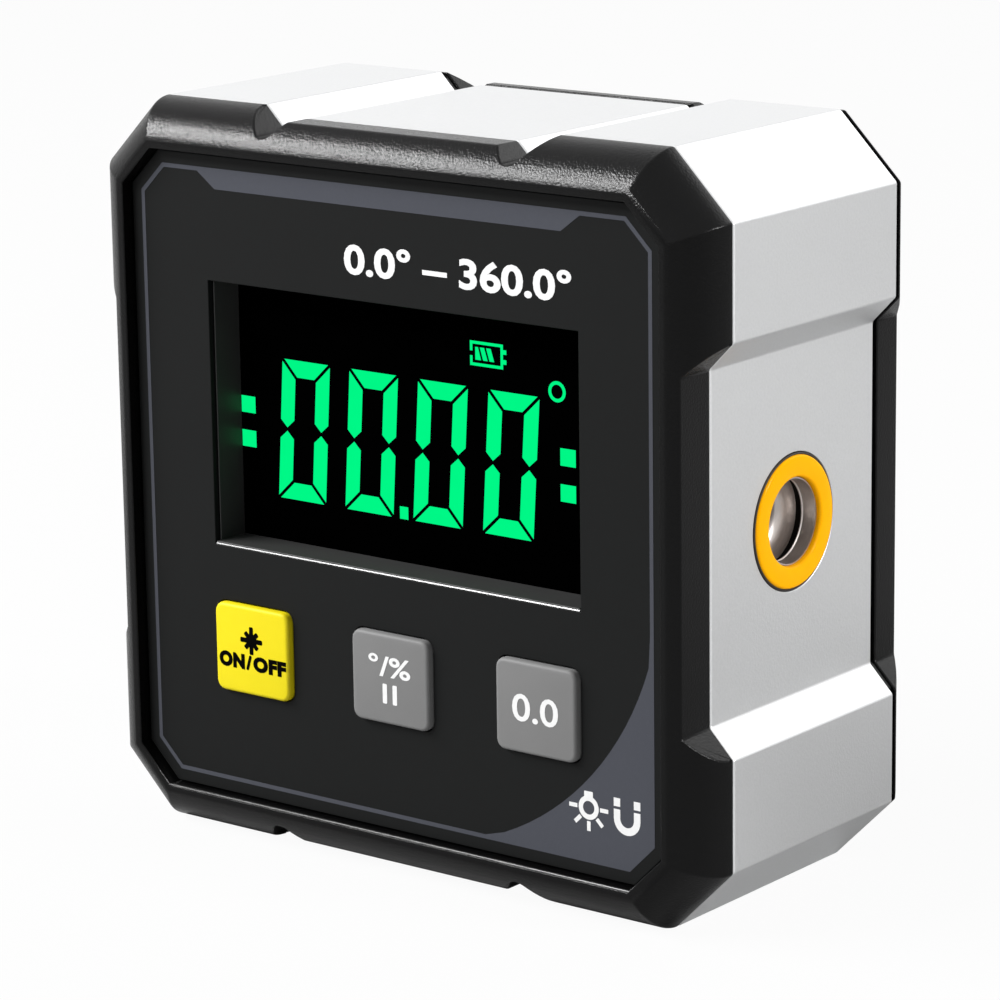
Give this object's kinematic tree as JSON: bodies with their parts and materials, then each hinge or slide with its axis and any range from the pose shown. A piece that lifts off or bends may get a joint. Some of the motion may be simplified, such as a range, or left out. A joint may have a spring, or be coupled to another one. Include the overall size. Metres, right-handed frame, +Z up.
{
  "type": "digital angle gauge",
  "caption": "Square aluminium digital angle gauge with black end shells, a sunk display, push keys, a side lamp, a magnetic base and a battery door.",
  "frame": {"origin": "middle of the base, on the plane that the gauge stands on", "axes": "+Z up, -Y towards the reader of the display, +X towards the side with the lamp; the lamp shines along +X"},
  "size_m": [0.06, 0.0306, 0.06],
  "materials": {
    "black_plastic": "fine spark-eroded grain",
    "label_film": "matte printed film",
    "satin_aluminium": "bead-blasted and anodised",
    "display_black": "dark negative display",
    "white_plastic": "moulded",
    "grey_rubber": "satin",
    "yellow_rubber": "satin",
    "nickel": "nickel plate",
    "green_board": "solder mask",
    "dark_resin": "moulded",
    "amber_plastic": "glossy",
    "turned_steel": "turned",
    "clear_glass": "polished",
    "cell_wrap": "glossy wrap",
    "red_lead": "satin",
    "black_lead": "satin"
  },
  "bodies": {
    "housing": {"front_bezel": "black_plastic", "label_plate": "label_film", "body_frame": "satin_aluminium", "back_cover": "black_plastic", "display_glass": "display_black", "display_backlight": "white_plastic", "display_connector": "grey_rubber", "display_holder": "black_plastic", "power_switch": "nickel", "hold_switch": "nickel", "zero_switch": "nickel", "main_board": "green_board", "controller_chip": "dark_resin", "tilt_sensor": "dark_resin", "clock_crystal": "nickel", "board_screw_1": "nickel", "board_screw_2": "nickel", "board_screw_3": "nickel", "board_screw_4": "nickel", "case_screw_1": "nickel", "case_screw_2": "nickel", "case_screw_3": "nickel", "case_screw_4": "nickel", "lamp_ring": "amber_plastic", "lamp_barrel": "turned_steel", "lamp_lens": "clear_glass", "lamp_emitter": "nickel", "lamp_board": "green_board", "lamp_lead_red": "red_lead", "lamp_lead_black": "black_lead", "base_magnet_1": "nickel", "base_magnet_2": "nickel", "base_magnet_3": "nickel", "base_magnet_4": "nickel", "battery_1": "cell_wrap", "battery_2": "cell_wrap", "contact_spring_lower": "nickel", "contact_spring_upper": "nickel", "contact_plate_negative": "nickel", "contact_plate_positive": "nickel", "contact_plate_bridge": "nickel", "battery_lead_black": "black_lead", "battery_lead_red": "red_lead"},
    "power_button": {"power_key": "yellow_rubber", "power_plunger": "white_plastic"},
    "hold_button": {"hold_key": "grey_rubber", "hold_plunger": "white_plastic"},
    "zero_button": {"zero_key": "grey_rubber", "zero_plunger": "white_plastic"},
    "door": {"battery_door": "black_plastic"}
  },
  "joints": [
    {"name": "power_key_press", "type": "slide", "parent": "housing", "child": "power_button", "axis": [0, 1, 0], "range_m": [0, 0.0005], "stiffness_N_per_m": 800, "springref_m": -0.0005},
    {"name": "hold_key_press", "type": "slide", "parent": "housing", "child": "hold_button", "axis": [0, 1, 0], "range_m": [0, 0.0005], "stiffness_N_per_m": 800, "springref_m": -0.0005},
    {"name": "zero_key_press", "type": "slide", "parent": "housing", "child": "zero_button", "axis": [0, 1, 0], "range_m": [0, 0.0005], "stiffness_N_per_m": 800, "springref_m": -0.0005},
    {"name": "battery_door_tilt", "type": "hinge", "parent": "housing", "child": "door", "pos_m": [-0.0073, 0.0153, 0.0053], "axis": [-1, 0, 0], "range_deg": [0, 75]}
  ]
}
